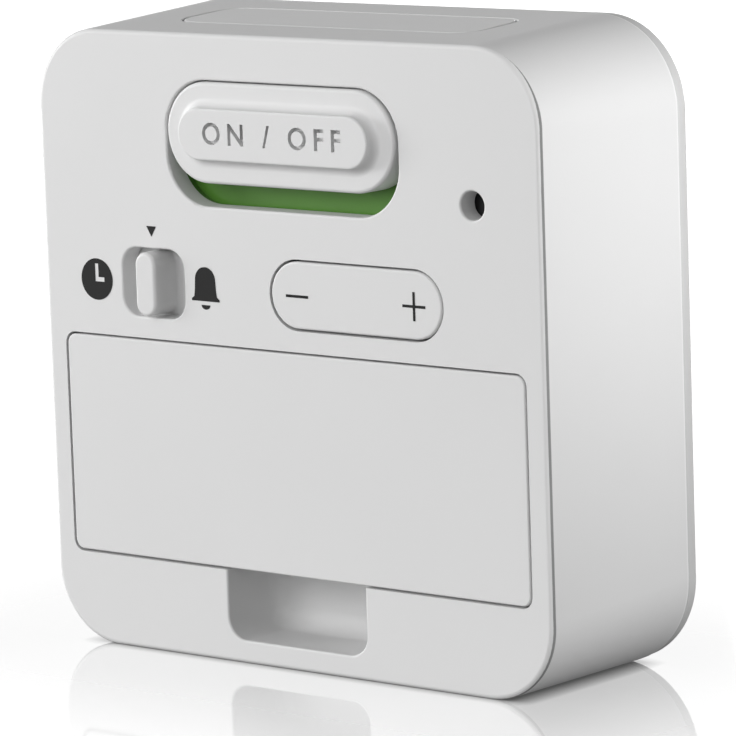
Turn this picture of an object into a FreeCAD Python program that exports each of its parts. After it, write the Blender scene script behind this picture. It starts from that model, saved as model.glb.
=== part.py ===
import FreeCAD, Part
import math
import os

# A small square alarm clock that speaks the time, seen in the photograph from behind.
# The case is a moulded box that widens a little from its flat back to a thin front frame.
# The back carries an alarm slide in a green lined recess, a three way selector, a minus and
# plus rocker, the sound hole, and the battery door with a finger scoop below it. A long bar
# in the top speaks the time and silences the alarm.
#
# Frame: X runs to the right of someone who reads the display, Y points out of the back,
# Z points up, and the origin is on the table under the middle of the clock.
# A depth is counted from the back face towards the display. All sizes are in millimetres.

V = FreeCAD.Vector
ALONG_X = V(1, 0, 0)
ALONG_Z = V(0, 0, 1)
INWARD = V(0, -1, 0)

# Case
back_corner_radius = 8.5
side_flare_width = 1.6
top_flare_height = 1.5
wall = 1.8
back_wall = 2.4
back_edge_round = 0.5
mouth_round = 0.25
overrun = 1.0
seam = 0.001

# Clearances that several pieces share
slide_gap = 0.15
seat_gap = 0.1
pin_gap = 0.05
swing_gap = 0.25

# Front frame, window and mask
band_thickness = 1.6
band_inset = 0.12
band_groove = 0.06
band_edge_round = 1.1
bezel_width = 2.2
window_thickness = 1.1
window_gap = 0.1
mask_thickness = 0.2
mask_margin = 1.2
frame_plate = 1.5
skirt_length = 3.0
skirt_wall = 1.1
snap_width = 7.0
snap_height = 0.45
snap_length = 1.0
snap_setback = 0.6
snap_spacing = 34.0

# Display
glass_side_margin = 9.0
glass_thickness = 1.0
glass_ledge = 2.5
view_margin = 1.8
guide_thickness = 2.0
lamp_width = 1.0
lamp_length = 3.0
lamp_height = 1.6
lamp_spacing = 20.0
holder_wall = 1.4
holder_boss_gap = 0.8
holder_floor = 0.8
strip_thickness = 1.7
strip_inset = 3.0

# Main board and what it carries
board_thickness = 1.2
board_side_gap = 0.8
board_headroom = 1.5
board_gap = 0.6
main_board_bottom = 4.0
board_corner_radius = 4.0
main_screw_side_margin = 6.2
main_screw_end_margin = 3.2
boss_radius = 1.9
chip_radius = 4.6
chip_height = 1.1
chip_spacing = 22.0
part_gap = 1.0
crystal_radius = 1.0
crystal_length = 6.0
capacitor_radius = 2.0
capacitor_height = 3.4
capacitor_spacing = 6.0

# Self tapping screws
screw_radius = 0.85
screw_head_radius = 1.6
screw_head_height = 1.0
screw_bite = 3.6

# Battery door and bay
door_side_margin = 2.5
door_corner_radius = 1.4
door_thickness = 1.6
door_gap = 0.25
door_edge_round = 0.2
bay_wall = 1.2
hook_width = 6.0
hook_end_margin = 6.0
hook_reach = 1.1
hook_thickness = 1.1
hook_root = 1.3
latch_width = 5.0
latch_length = 2.6
latch_thickness = 0.8
latch_spacing = 34.0
door_rib_width = 1.2
door_rib_height = 1.5
grip_notch = 1.6
saddle_width = 1.4
saddle_height = 2.6
saddle_spacing = 26.0

# Cells
cell_radius = 5.25
cell_length = 44.5
cell_nub_radius = 1.9
cell_nub_length = 0.8
cell_rim_round = 0.5
cell_spacing = 10.8
cell_door_gap = 0.35
cell_side_gap = 0.6

# Battery contacts
contact_thickness = 0.4
contact_margin = 1.2
contact_split = 1.2
contact_lead_in = 1.5
dimple_radius = 2.4
dimple_height = 0.3
tail_width = 3.0
lip_thickness = 0.7
lip_overlap = 0.6
spring_wire_radius = 0.3
spring_base_radius = 3.4
spring_tip_radius = 2.1
spring_length = 4.0
spring_turns = 3

# Finger scoop below the door
scoop_width = 19.6
scoop_bottom = 2.55
scoop_mouth_height = 7.65
scoop_depth = 8.5
scoop_corner_radius = 2.4
scoop_floor_round = 2.2
scoop_wall = 1.3

# Alarm slide and its green track
alarm_row_gap = 5.0
alarm_opening_width = 32.5
alarm_opening_height = 13.75
alarm_top_margin = 5.05
alarm_travel = 2.4
alarm_side_gap = 0.3
alarm_face_proud = 0.2
alarm_cap_round = 0.4
pad_end_margin = 2.65
pad_side_margin = 2.7
pad_proud = 1.5
pad_top_round = 0.25
pad_root_round = 0.95
track_lip = 1.3
track_pocket = 1.05
track_undercut = 0.3
track_floor = 1.2
leg_spacing = 18.0
leg_width = 2.6
leg_height = 2.0
leg_hook = 0.6
leg_hook_thickness = 0.85

# Three way selector
selector_width = 9.0
selector_height = 7.65
selector_radius = 2.2
selector_travel = 2.2
knob_width = 2.95
knob_height = 7.1
knob_proud = 1.4
knob_top_round = 0.4
knob_root_round = 0.55
plate_thickness = 1.0
plate_overlap = 0.2
plate_height = 9.2
rail_thickness = 1.0
rail_lip = 0.6
rail_length = 8.0
rail_hook_gap = 0.5
socket_width = 3.8

# Slide switches on the switch board
switch_width = 4.4
switch_end_wall = 0.9
switch_height = 2.9
switch_gap = 1.05
switch_lid = 0.7
switch_base = 0.6
lever_width = 1.6
lever_length = 1.8
lever_foot_width = 2.6
lever_foot_length = 3.0
lever_engagement = 1.1

# Minus and plus rocker with its rubber keypad
rocker_row_gap = 2.3
rocker_side_margin = 13.2
rocker_opening_width = 24.0
rocker_opening_height = 7.8
rocker_gap = 0.25
rocker_thickness = 2.4
rocker_edge_round = 0.25
rocker_pivot_depth = 3.45
rocker_pin_radius = 0.8
rocker_web_width = 3.4
rocker_web_depth = 1.9
rocker_foot_margin = 3.4
rocker_foot_radius = 1.5
rocker_foot_length = 2.0
ear_width = 4.4
ear_thickness = 1.4
ear_wall = 0.9
keypad_margin = 0.6
keypad_sheet = 0.8
dome_base_radius = 3.2
dome_tip_radius = 1.7
dome_wall = 0.6

# Switch board
switch_board_bay_gap = 1.1
boss_board_margin = 2.5
corner_boss_step = 2.8
link_spacing = 2.54
link_pins = 4
link_body = 2.2
link_pin_radius = 0.3
link_pin_proud = 0.7

# Loudspeaker behind the sound hole
sound_hole_drop = 16.7
sound_hole_radius = 1.55
speaker_radius = 7.0
speaker_ring_wall = 0.9
speaker_ring_height = 3.0
speaker_side_gap = 0.2
speaker_track_gap = 0.4
gasket_thickness = 0.8
gasket_width = 1.4
basket_height = 3.2
basket_wall = 0.6
cone_thickness = 0.35
cone_rise = 1.0
cone_roof_radius = 2.6
cone_slope_radius = 5.0
magnet_radius = 4.2
magnet_height = 1.9
lead_radius = 0.35
lead_place = 5.6
lead_spacing = 3.0

# Bar in the top
bar_end_margin = 1.45
bar_width = 10.2
bar_radius = 3.0
bar_gap = 0.15
bar_edge_round = 0.3
bar_mouth_round = 0.2
bar_travel = 0.7
flange_overhang = 1.0
flange_thickness = 1.0
bar_post_radius = 1.8
rib_track_gap = 0.35
rib_width = 3.2
rib_thickness = 1.3
return_dome_height = 3.9
return_dome_radius = 1.55
return_dome_tip_radius = 1.0
return_dome_bore = 0.55
talk_switch_width = 6.0
talk_switch_depth = 4.2
talk_switch_height = 3.4
talk_stem_radius = 1.4
talk_stem_proud = 1.2
talk_stem_hidden = 1.2

# Depths worked out from the pieces that lie behind each other
ledge_depth = door_thickness + slide_gap
ledge_back = ledge_depth + back_wall
cell_depth = ledge_depth + cell_door_gap + cell_radius
bay_floor = cell_depth + cell_radius + seat_gap
bay_back = bay_floor + bay_wall
track_floor_depth = back_wall + track_pocket
track_back = track_floor_depth + track_floor
cap_back = track_floor_depth - slide_gap
switch_face = track_back + switch_gap
switch_board_depth = switch_face + switch_height
switch_board_front = switch_board_depth + board_thickness
main_board_back = max(bay_back, switch_board_front + talk_switch_depth) + board_gap
main_board_front = main_board_back + board_thickness
guide_back = main_board_front + holder_floor
guide_front = guide_back + guide_thickness
glass_back = guide_front + seat_gap
glass_seam = glass_back + glass_thickness
glass_front = glass_seam + glass_thickness
plate_back = glass_front + seat_gap
pocket_floor = plate_back + frame_plate
case_depth = pocket_floor + mask_thickness + window_thickness + window_gap
back_plane = (case_depth - pad_proud) / 2
band_back = case_depth - band_thickness
shell_front = band_back - band_groove
foot_top = switch_face + switch_lid + seat_gap
foot_bottom = switch_board_depth - switch_base - seat_gap
socket_end = switch_face - slide_gap
lever_tip = socket_end - lever_engagement
selector_plate_depth = back_wall + slide_gap
selector_plate_back = selector_plate_depth + plate_thickness
hook_near = back_wall + slide_gap
hook_far = hook_near + hook_thickness
hook_sweep = math.hypot(hook_far, door_gap + hook_root) + slide_gap
dome_top = rocker_thickness + rocker_foot_length
gasket_back = back_wall + gasket_thickness
basket_back = gasket_back + basket_height
bar_depth = case_depth / 2
rib_end = bar_depth + return_dome_radius
talk_switch_axis = switch_board_front + talk_switch_depth / 2

# Heights worked out from the rows on the back, from the scoop up to the bar
door_opening_bottom = scoop_bottom + scoop_mouth_height
bay_bottom = door_opening_bottom + bay_wall
bay_centre = bay_bottom + cell_side_gap + cell_radius + cell_spacing / 2
bay_top = 2 * bay_centre - bay_bottom
door_opening_top = bay_top + bay_wall
rocker_z = door_opening_top + rocker_row_gap + rocker_opening_height / 2
selector_z = rocker_z
link_z = rocker_z + (rocker_opening_height + alarm_row_gap) / 2
alarm_opening_bottom = rocker_z + rocker_opening_height / 2 + alarm_row_gap
alarm_opening_top = alarm_opening_bottom + alarm_opening_height
alarm_cap_height = alarm_opening_height - alarm_travel - 2 * slide_gap
alarm_z = alarm_opening_top - slide_gap - alarm_cap_height / 2
back_height = alarm_opening_top + alarm_top_margin
sound_hole_z = back_height - sound_hole_drop
flange_top = back_height - wall - seat_gap
flange_bottom = flange_top - flange_thickness
rib_top = flange_bottom - return_dome_height
board_top = flange_bottom - board_headroom
switch_board_bottom = door_opening_top + switch_board_bay_gap
talk_switch_top = board_top - slide_gap
talk_switch_bottom = talk_switch_top - talk_switch_height
talk_stem_top = talk_switch_top + talk_stem_proud
main_screw_low = main_board_bottom + main_screw_end_margin
main_screw_high = board_top - main_screw_end_margin
display_height = (back_height + top_flare_height) / 2
glass_height = 2 * (main_screw_high - boss_radius - holder_boss_gap - holder_wall - seat_gap
                    - display_height)
chip_z = link_z + link_body / 2 + part_gap + chip_radius

# Widths worked out from the row with the sound hole and the alarm opening
alarm_cap_width = alarm_opening_width - 2 * alarm_side_gap
alarm_radius = alarm_cap_height / 2 + slide_gap
track_edge = alarm_opening_width / 2 + track_lip
pad_width = alarm_cap_width - 2 * pad_end_margin
pad_height = alarm_cap_height - 2 * pad_side_margin
speaker_ring_radius = speaker_radius + slide_gap + speaker_ring_wall
sound_hole_x = -(track_edge + speaker_track_gap + speaker_ring_radius)
back_width = 2 * (speaker_radius + speaker_side_gap + wall - sound_hole_x)
door_opening_width = back_width - 2 * door_side_margin
hook_spacing = door_opening_width - 2 * hook_end_margin
selector_x = hook_spacing / 2 - hook_width / 2 - rail_hook_gap - rail_length / 2
selector_plate_half = selector_width / 2 + selector_travel + plate_overlap
rocker_x = rocker_side_margin + rocker_opening_width / 2 - back_width / 2
rocker_foot_spacing = rocker_opening_width - 2 * rocker_foot_margin
ear_inner = rocker_opening_height / 2 + swing_gap
rib_spacing = 2 * (track_edge + rib_track_gap) + rib_width
bar_length = rib_spacing + 2 * bar_end_margin
glass_width = back_width - 2 * glass_side_margin
contact_inner = (cell_length + dimple_height + spring_length) / 2
contact_outer = contact_inner + contact_thickness
bay_end = contact_outer + seat_gap
plate_bottom = bay_bottom + contact_margin
plate_top = bay_top - contact_margin
skirt_inset = wall + slide_gap
crystal_x = -(chip_spacing / 2 + chip_radius + part_gap + crystal_radius)
capacitor_x = chip_spacing / 2 + chip_radius + part_gap + capacitor_radius


def y_at(depth):
    return back_plane - depth


def case_half_width(depth):
    return back_width / 2 + side_flare_width * depth / case_depth


def case_top(depth):
    return back_height + top_flare_height * depth / case_depth


def bend(start, end, tangent):
    """Arc from start to end that leaves start along a tangent."""
    chord = end - start
    along = V(chord).normalize()
    aside = tangent - along * tangent.dot(along)
    if aside.Length < seam:
        return Part.makeLine(start, end)
    turn = tangent.getAngle(chord)
    rise = chord.Length / 2 * math.tan(turn / 2)
    middle = (start + end) * 0.5 + aside.normalize() * rise
    return Part.Arc(start, middle, end).toShape()


def rounded_wire(a0, a1, b0, b1, radius, place):
    """Closed rectangle with round corners. place turns its two coordinates into a point."""
    radius = min(radius, (a1 - a0) / 2, (b1 - b0) / 2)
    centres = ((a1 - radius, b1 - radius), (a0 + radius, b1 - radius),
               (a0 + radius, b0 + radius), (a1 - radius, b0 + radius))

    def on_corner(i, quarter):
        a, b = centres[i % len(centres)]
        angle = (i + quarter) * math.pi / 2
        return place(a + radius * math.cos(angle), b + radius * math.sin(angle))

    edges = []
    for i in range(len(centres)):
        end = on_corner(i, 1)
        edges.append(Part.Arc(on_corner(i, 0), on_corner(i, 1 / 2), end).toShape())
        if end.distanceToPoint(on_corner(i + 1, 0)) > seam:
            edges.append(Part.makeLine(end, on_corner(i + 1, 0)))
    return Part.Wire(edges)


def outline(x0, x1, z0, z1, radius, depth):
    """Rounded rectangle, upright, at one depth."""
    return rounded_wire(x0, x1, z0, z1, radius, lambda x, z: V(x, y_at(depth), z))


def slab(x0, x1, z0, z1, radius, near, far):
    """Upright plate with round corners between two depths."""
    return Part.Face(outline(x0, x1, z0, z1, radius, near)).extrude(INWARD * (far - near))


def tile(x, z, width, height, radius, near, far):
    """Slab given by its middle and size."""
    return slab(x - width / 2, x + width / 2, z - height / 2, z + height / 2, radius, near, far)


def block(x0, x1, z0, z1, near, far):
    return Part.makeBox(x1 - x0, far - near, z1 - z0, V(x0, y_at(far), z0))


def brick(x, z, width, height, near, far):
    """Block given by its middle and size."""
    return block(x - width / 2, x + width / 2, z - height / 2, z + height / 2, near, far)


def disc(x, z, radius, near, far):
    return Part.makeCylinder(radius, far - near, V(x, y_at(near), z), INWARD)


def ring(x, z, inner, outer, near, far):
    return disc(x, z, outer, near, far).cut(disc(x, z, inner, near, far))


def flat_slab(length, width, radius, low, high):
    """Lying plate with round corners under the middle of the top."""
    wire = rounded_wire(-length / 2, length / 2, bar_depth - width / 2, bar_depth + width / 2,
                        radius, lambda x, depth: V(x, y_at(depth), low))
    return Part.Face(wire).extrude(ALONG_Z * (high - low))


def case_outline(inset, depth):
    """Section of the case at a depth, drawn in from its surface by an inset."""
    half = case_half_width(depth) - inset
    radius = back_corner_radius + side_flare_width * depth / case_depth - inset
    return outline(-half, half, inset, case_top(depth) - inset, radius, depth)


def case_block(inset, near, far):
    return Part.makeLoft([case_outline(inset, near), case_outline(inset, far)], True, True)


def at_depth(shape, depth, x=0, z=0, width=0, height=0):
    """Edges that lie at one depth, and inside a rectangle when it is given."""
    chosen = []
    for edge in shape.Edges:
        box = edge.BoundBox
        flat = abs(box.YMin - y_at(depth)) < seam and abs(box.YMax - y_at(depth)) < seam
        inside = not width or (abs(box.Center.x - x) <= width / 2 + seam
                               and abs(box.Center.z - z) <= height / 2 + seam)
        if flat and inside:
            chosen.append(edge)
    return chosen


def soften(shape, radius, edges):
    return shape.makeFillet(radius, edges)


def window(shape, x, z, width, height, radius):
    """Opening through the back wall with a softened mouth."""
    shape = shape.cut(tile(x, z, width, height, radius, -overrun, back_wall + overrun))
    return soften(shape, mouth_round, at_depth(shape, 0, x, z, width, height))


def top_window(shape):
    """Opening for the bar with a softened mouth."""
    shape = shape.cut(flat_slab(bar_length, bar_width, bar_radius, flange_top, case_top(case_depth)))
    middle = y_at(bar_depth)
    mouth = [edge for edge in shape.Edges if edge.BoundBox.ZMin > back_height
             and abs(edge.BoundBox.XMin) < bar_length / 2 + seam
             and abs(edge.BoundBox.XMax) < bar_length / 2 + seam
             and abs(edge.BoundBox.YMin - middle) < bar_width / 2 + seam
             and abs(edge.BoundBox.YMax - middle) < bar_width / 2 + seam]
    return soften(shape, bar_mouth_round, mouth)


def mirrored(spacing):
    return (-spacing / 2, spacing / 2)


def joined(first, others):
    return first.fuse(others).removeSplitter()


def board_half_width(depth):
    return case_half_width(depth) - wall - board_side_gap


def switch_bosses():
    """Places of the four screws in the switch board. The upper pair stands in from the corners."""
    low_x = board_half_width(switch_board_depth) - boss_board_margin
    low_z = switch_board_bottom + boss_board_margin
    high_z = board_top - boss_board_margin
    return [(side * x, z) for side in (-1, 1)
            for x, z in ((low_x, low_z), (low_x - corner_boss_step, high_z))]


def main_bosses():
    x = board_half_width(main_board_back) - main_screw_side_margin
    return [(side * x, z) for side in (-1, 1) for z in (main_screw_low, main_screw_high)]


def link_places():
    return [((i - (link_pins - 1) / 2) * link_spacing, link_z) for i in range(link_pins)]


def cell_row(side):
    """Height of a cell's middle, 1 for the upper cell and -1 for the lower."""
    return bay_centre + side * cell_spacing / 2


def save(name, shape):
    shape.exportStep(os.path.join("parts", name + ".step"))


# Rear housing

def bare_shell():
    shell = case_block(0, 0, shell_front)
    shell = soften(shell, back_edge_round, at_depth(shell, 0))
    shell = shell.cut(case_block(wall, back_wall, shell_front + overrun))
    alarm_middle = (alarm_opening_top + alarm_opening_bottom) / 2
    shell = window(shell, 0, alarm_middle, alarm_opening_width, alarm_opening_height, alarm_radius)
    shell = window(shell, selector_x, selector_z, selector_width, selector_height, selector_radius)
    shell = window(shell, sound_hole_x, sound_hole_z, 2 * sound_hole_radius,
                   2 * sound_hole_radius, sound_hole_radius)
    mouth_height = bay_centre - scoop_bottom
    shell = window(shell, 0, scoop_bottom + mouth_height / 2, scoop_width, mouth_height,
                   scoop_corner_radius)
    shell = shell.cut(tile(rocker_x, rocker_z, rocker_opening_width, rocker_opening_height,
                           rocker_opening_height / 2, -overrun, back_wall + overrun))
    return top_window(shell)


def bay_tub():
    """Walls and floor round the cells, with saddles, contact grooves and tail slots."""
    tub = block(-bay_end - bay_wall, bay_end + bay_wall, door_opening_bottom, door_opening_top,
                back_wall, bay_back)
    tub = tub.cut(block(-bay_end, bay_end, bay_bottom, bay_top, 0, bay_floor))
    saddles = [brick(x, bay_centre, saddle_width, bay_top - bay_bottom, bay_floor - saddle_height,
                     bay_floor) for x in mirrored(saddle_spacing)]
    cells = [cell_space(row) for row in (-1, 1)]
    saddles = [saddle.cut(cells) for saddle in saddles]
    return tub.fuse(saddles + contact_lips() + door_ledges())


def door_ledges():
    """Plates that carry the ends of the door beyond the bay."""
    inner = bay_end + bay_wall - seam
    outer = door_opening_width / 2 + bay_wall
    return [block(min(side * inner, side * outer), max(side * inner, side * outer),
                  door_opening_bottom - bay_wall, door_opening_top + bay_wall, back_wall - seam,
                  ledge_back) for side in (-1, 1)]


def cell_space(row):
    return Part.makeCylinder(cell_radius + seat_gap, 2 * bay_end,
                             V(-bay_end, y_at(cell_depth), cell_row(row)), ALONG_X)


def contact_lips():
    """Posts in front of the contact plates' edges, which hold them against the end walls."""
    lips = []
    for side in (-1, 1):
        low_x, high_x = sorted((side * (contact_inner - seat_gap),
                                side * (contact_inner - seat_gap - lip_thickness)))
        near = ledge_depth + contact_lead_in
        lips.append(block(low_x, high_x, bay_bottom, plate_bottom + lip_overlap, near, bay_floor))
        lips.append(block(low_x, high_x, plate_top - lip_overlap, bay_top, near, bay_floor))
    split = contact_split / 2 + lip_overlap
    lips.append(block(seat_gap - contact_inner, seat_gap - contact_inner + lip_thickness,
                      bay_centre - split, bay_centre + split, near, bay_floor))
    return lips


def tail_slots():
    return [block(-contact_outer - slide_gap, slide_gap - contact_inner,
                  cell_row(row) - tail_width / 2 - slide_gap,
                  cell_row(row) + tail_width / 2 + slide_gap,
                  bay_floor - overrun, bay_back + overrun) for row in (-1, 1)]


def door_seat():
    """Step that the door lies in, with notches for its hooks and for a finger."""
    cuts = [slab(-door_opening_width / 2, door_opening_width / 2, door_opening_bottom,
                 door_opening_top, door_corner_radius, -overrun, ledge_depth),
            block(-bay_end, bay_end, bay_bottom, bay_top, ledge_depth - overrun, back_wall + overrun),
            block(-scoop_width / 2, scoop_width / 2, door_opening_bottom - overrun,
                  bay_bottom + overrun, ledge_depth - overrun, ledge_depth + grip_notch)]
    for x in mirrored(hook_spacing):
        left, right = x - hook_width / 2 - swing_gap, x + hook_width / 2 + swing_gap
        cuts.append(block(left, right, door_opening_top - hook_sweep, door_opening_top, ledge_depth,
                          hook_sweep))
        cuts.append(block(left, right, door_opening_top - hook_sweep,
                          door_opening_top + hook_reach + seat_gap, back_wall, hook_sweep))
    return cuts


def scoop_tub():
    """Pocket for a fingertip, with soft corners at its floor."""
    half = scoop_width / 2
    tub = slab(-half - scoop_wall, half + scoop_wall, scoop_bottom - scoop_wall,
               door_opening_bottom + scoop_corner_radius, scoop_corner_radius + scoop_wall,
               back_wall, scoop_depth + scoop_wall)
    pocket = slab(-half, half, scoop_bottom, door_opening_top, scoop_corner_radius,
                  0, scoop_depth)
    pocket = soften(pocket, scoop_floor_round, at_depth(pocket, scoop_depth))
    above = block(-case_depth, case_depth, door_opening_bottom, door_opening_top, 0, case_depth)
    return tub.cut([pocket, above])


def selector_rails():
    rails = []
    lip_near = selector_plate_back + slide_gap
    for side in (-1, 1):
        inner = plate_height / 2 + slide_gap
        low, high = sorted((selector_z + side * inner, selector_z + side * (inner + rail_thickness)))
        rails.append(block(selector_x - rail_length / 2, selector_x + rail_length / 2, low, high,
                           back_wall - seam, lip_near + rail_thickness))
        low, high = sorted((selector_z + side * (inner - rail_lip), selector_z + side * inner))
        rails.append(block(selector_x - rail_length / 2, selector_x + rail_length / 2, low, high,
                           lip_near, lip_near + rail_thickness))
    return rails


def rocker_ears():
    """Pair of ears with open snap holes for the rocker's pins."""
    ears = []
    end = rocker_pivot_depth + rocker_pin_radius + ear_wall
    for side in (-1, 1):
        middle = rocker_z + side * (ear_inner + ear_thickness / 2)
        ear = brick(rocker_x, middle, ear_width, ear_thickness, back_wall - seam, end)
        bore = Part.makeCylinder(rocker_pin_radius + pin_gap, 2 * ear_thickness,
                                 V(rocker_x, y_at(rocker_pivot_depth), middle - ear_thickness),
                                 ALONG_Z)
        mouth = brick(rocker_x, middle, 2 * rocker_pin_radius - swing_gap, 2 * ear_thickness,
                      rocker_pivot_depth, end + overrun)
        ears.append(ear.cut([bore, mouth]))
    return ears


def dome_ribs():
    """Shelves from the back wall that carry the rubber domes under the bar."""
    return [brick(x, rib_top - rib_thickness / 2, rib_width, rib_thickness, back_wall - seam, rib_end)
            for x in mirrored(rib_spacing)]


def pilot_holes():
    near = switch_board_depth - screw_bite - seat_gap
    return [disc(x, z, screw_radius + pin_gap, near, switch_board_depth + overrun)
            for x, z in switch_bosses()]


def snaps(extra):
    """Bumps on the front frame's skirt, or with an extra size the grooves for them."""
    near = band_back - skirt_length + snap_setback
    far = near + snap_length
    middle = (near + far) / 2
    height = case_top(middle) / 2
    reach = snap_height + extra
    root = skirt_wall / 2
    bumps = []
    for place in mirrored(snap_spacing):
        for side in (-1, 1):
            edge = side * (case_half_width(middle) - skirt_inset)
            low, high = sorted((edge - side * root, edge + side * reach))
            bumps.append(block(low, high, height + place - snap_width / 2 - extra,
                               height + place + snap_width / 2 + extra, near - extra, far + extra))
        ends = ((skirt_inset - reach, skirt_inset + root),
                (case_top(middle) - skirt_inset - root, case_top(middle) - skirt_inset + reach))
        for low, high in ends:
            bumps.append(block(place - snap_width / 2 - extra, place + snap_width / 2 + extra,
                               low, high, near - extra, far + extra))
    return bumps


def rear_housing():
    bosses = [disc(x, z, boss_radius, back_wall - seam, switch_board_depth)
              for x, z in switch_bosses()]
    speaker_ring = ring(sound_hole_x, sound_hole_z, speaker_radius + slide_gap, speaker_ring_radius,
                        back_wall - seam, back_wall + speaker_ring_height)
    inner = [bay_tub(), scoop_tub(), speaker_ring] + bosses + selector_rails() + rocker_ears()
    inner = [piece.common(case_block(wall / 2, 0, shell_front)) for piece in inner + dome_ribs()]
    shell = bare_shell().fuse(inner)
    return shell.cut(door_seat() + tail_slots() + pilot_holes() + snaps(slide_gap)).removeSplitter()


# Front frame, window and display

def window_outline(gap, near, far):
    half = case_half_width(case_depth) - bezel_width - gap
    radius = back_corner_radius + side_flare_width - bezel_width - gap
    return slab(-half, half, bezel_width + gap, case_top(case_depth) - bezel_width - gap, radius,
                near, far)


def view_block(margin, near, far):
    """Clear view of the display, drawn in from the glass edge by a margin."""
    return brick(0, display_height, glass_width - 2 * margin, glass_height - 2 * margin, near, far)


def front_frame():
    band = case_block(band_inset, band_back, case_depth)
    band = soften(band, band_edge_round, at_depth(band, case_depth))
    band = band.cut(window_outline(0, pocket_floor, case_depth + overrun))
    skirt = case_block(skirt_inset, band_back - skirt_length, band_back)
    skirt = skirt.cut(case_block(skirt_inset + skirt_wall, 0, plate_back))
    bosses = [disc(x, z, boss_radius, main_board_front, plate_back) for x, z in main_bosses()]
    frame = joined(band, [skirt] + snaps(0) + bosses)
    holes = [disc(x, z, screw_radius + pin_gap, main_board_front - overrun,
                  main_board_front + screw_bite + seat_gap) for x, z in main_bosses()]
    return frame.cut(holes + [view_block(view_margin, plate_back - overrun, case_depth)])


def display_window():
    pane = window_outline(window_gap, case_depth - window_gap - window_thickness,
                          case_depth - window_gap)
    return soften(pane, window_gap, at_depth(pane, case_depth - window_gap))


def window_mask():
    mask = window_outline(window_gap, pocket_floor, pocket_floor + mask_thickness)
    return mask.cut(view_block(view_margin + mask_margin, pocket_floor - overrun, case_depth))


def lcd_front_glass():
    return view_block(0, glass_seam, glass_front)


def lcd_rear_glass():
    return brick(0, display_height, glass_width, glass_height - 2 * glass_ledge, glass_back,
                 glass_seam)


def light_guide():
    """Clear plate behind the glass, with a notch for each lamp in one side."""
    guide = brick(0, display_height, glass_width, glass_height - 2 * glass_ledge, guide_back,
                  guide_front)
    return guide.cut([lamp(z, seat_gap) for z in mirrored(lamp_spacing)])


def lamp(z, extra):
    edge = glass_width / 2
    return block(edge - lamp_width - extra, edge + extra, display_height + z - lamp_length / 2 - extra,
                 display_height + z + lamp_length / 2 + extra, main_board_front - extra,
                 main_board_front + lamp_height + extra)


def backlight_lamps():
    return Part.makeCompound([lamp(z, 0) for z in mirrored(lamp_spacing)])


def strip(side, extra):
    """Rubber strip that links the glass ledge to the board, above or below the light guide."""
    offset = (glass_height - glass_ledge) / 2
    return brick(0, display_height + side * offset, glass_width - 2 * strip_inset + 2 * extra,
                 strip_thickness + 2 * extra, main_board_front, glass_seam + extra)


def contact_strips():
    return Part.makeCompound([strip(side, 0) for side in (-1, 1)])


def lcd_holder():
    """Tray round the glass and light guide, open where the strips and lamps pass."""
    tray = brick(0, display_height, glass_width + 2 * (holder_wall + seat_gap),
                 glass_height + 2 * (holder_wall + seat_gap), main_board_front, plate_back)
    well = brick(0, display_height, glass_width + 2 * seat_gap, glass_height + 2 * seat_gap,
                 guide_back, plate_back + overrun)
    slots = [strip(side, seat_gap) for side in (-1, 1)]
    slots += [lamp(z, seat_gap) for z in mirrored(lamp_spacing)]
    return tray.cut([well] + slots)


# Main board

def main_board():
    half = board_half_width(main_board_back)
    board = slab(-half, half, main_board_bottom, board_top, board_corner_radius,
                 main_board_back, main_board_front)
    holes = [disc(x, z, screw_radius + slide_gap, main_board_back, main_board_front)
             for x, z in main_bosses()]
    holes += [disc(x, z, link_pin_radius + pin_gap, main_board_back, main_board_front)
              for x, z in link_places()]
    return board.cut(holes)


def chip_blob(x):
    """Low dome of resin over a bare chip."""
    sphere_radius = (chip_radius ** 2 + chip_height ** 2) / (2 * chip_height)
    centre = V(x, y_at(main_board_back - chip_height + sphere_radius), chip_z)
    ball = Part.makeSphere(sphere_radius, centre)
    return ball.common(brick(x, chip_z, 2 * sphere_radius, 2 * sphere_radius,
                             main_board_back - chip_height - overrun, main_board_back))


def crystal_can():
    start = V(crystal_x, y_at(main_board_back - crystal_radius), chip_z - crystal_length / 2)
    return Part.makeCylinder(crystal_radius, crystal_length, start, ALONG_Z)


def capacitors():
    return Part.makeCompound([disc(capacitor_x, chip_z + z, capacitor_radius,
                                   main_board_back - capacitor_height, main_board_back)
                              for z in mirrored(capacitor_spacing)])


def screw(x, z, seat, turned):
    """Pan head screw. It bites towards the display when turned is 1, or the back when -1."""
    tip = seat + turned * (screw_bite + board_thickness)
    crown = seat - turned * screw_head_height
    shank = disc(x, z, screw_radius, min(seat, tip), max(seat, tip))
    head = disc(x, z, screw_head_radius, min(seat, crown), max(seat, crown))
    return shank.fuse(head).removeSplitter()


def main_board_screws():
    return Part.makeCompound([screw(x, z, main_board_back, 1) for x, z in main_bosses()])


# Switch board

def switch_board():
    half = board_half_width(switch_board_depth)
    board = slab(-half, half, switch_board_bottom, board_top, board_corner_radius,
                 switch_board_depth, switch_board_front)
    holes = [disc(x, z, screw_radius + slide_gap, switch_board_depth, switch_board_front)
             for x, z in switch_bosses()]
    holes += [disc(x, z, link_pin_radius + pin_gap, switch_board_depth, switch_board_front)
              for x, z in link_places()]
    notch_bottom = rib_top - rib_thickness - swing_gap
    holes += [block(x - rib_width / 2 - swing_gap, x + rib_width / 2 + swing_gap, notch_bottom,
                    board_top + overrun, switch_board_depth, switch_board_front)
              for x in mirrored(rib_spacing)]
    return board.cut(holes)


def switch_board_screws():
    return Part.makeCompound([screw(x, z, switch_board_front, -1) for x, z in switch_bosses()])


def link_header():
    return brick(0, link_z, link_pins * link_spacing, link_body, switch_board_front,
                 main_board_back).cut(link_pin_row(pin_gap).Solids)


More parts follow.
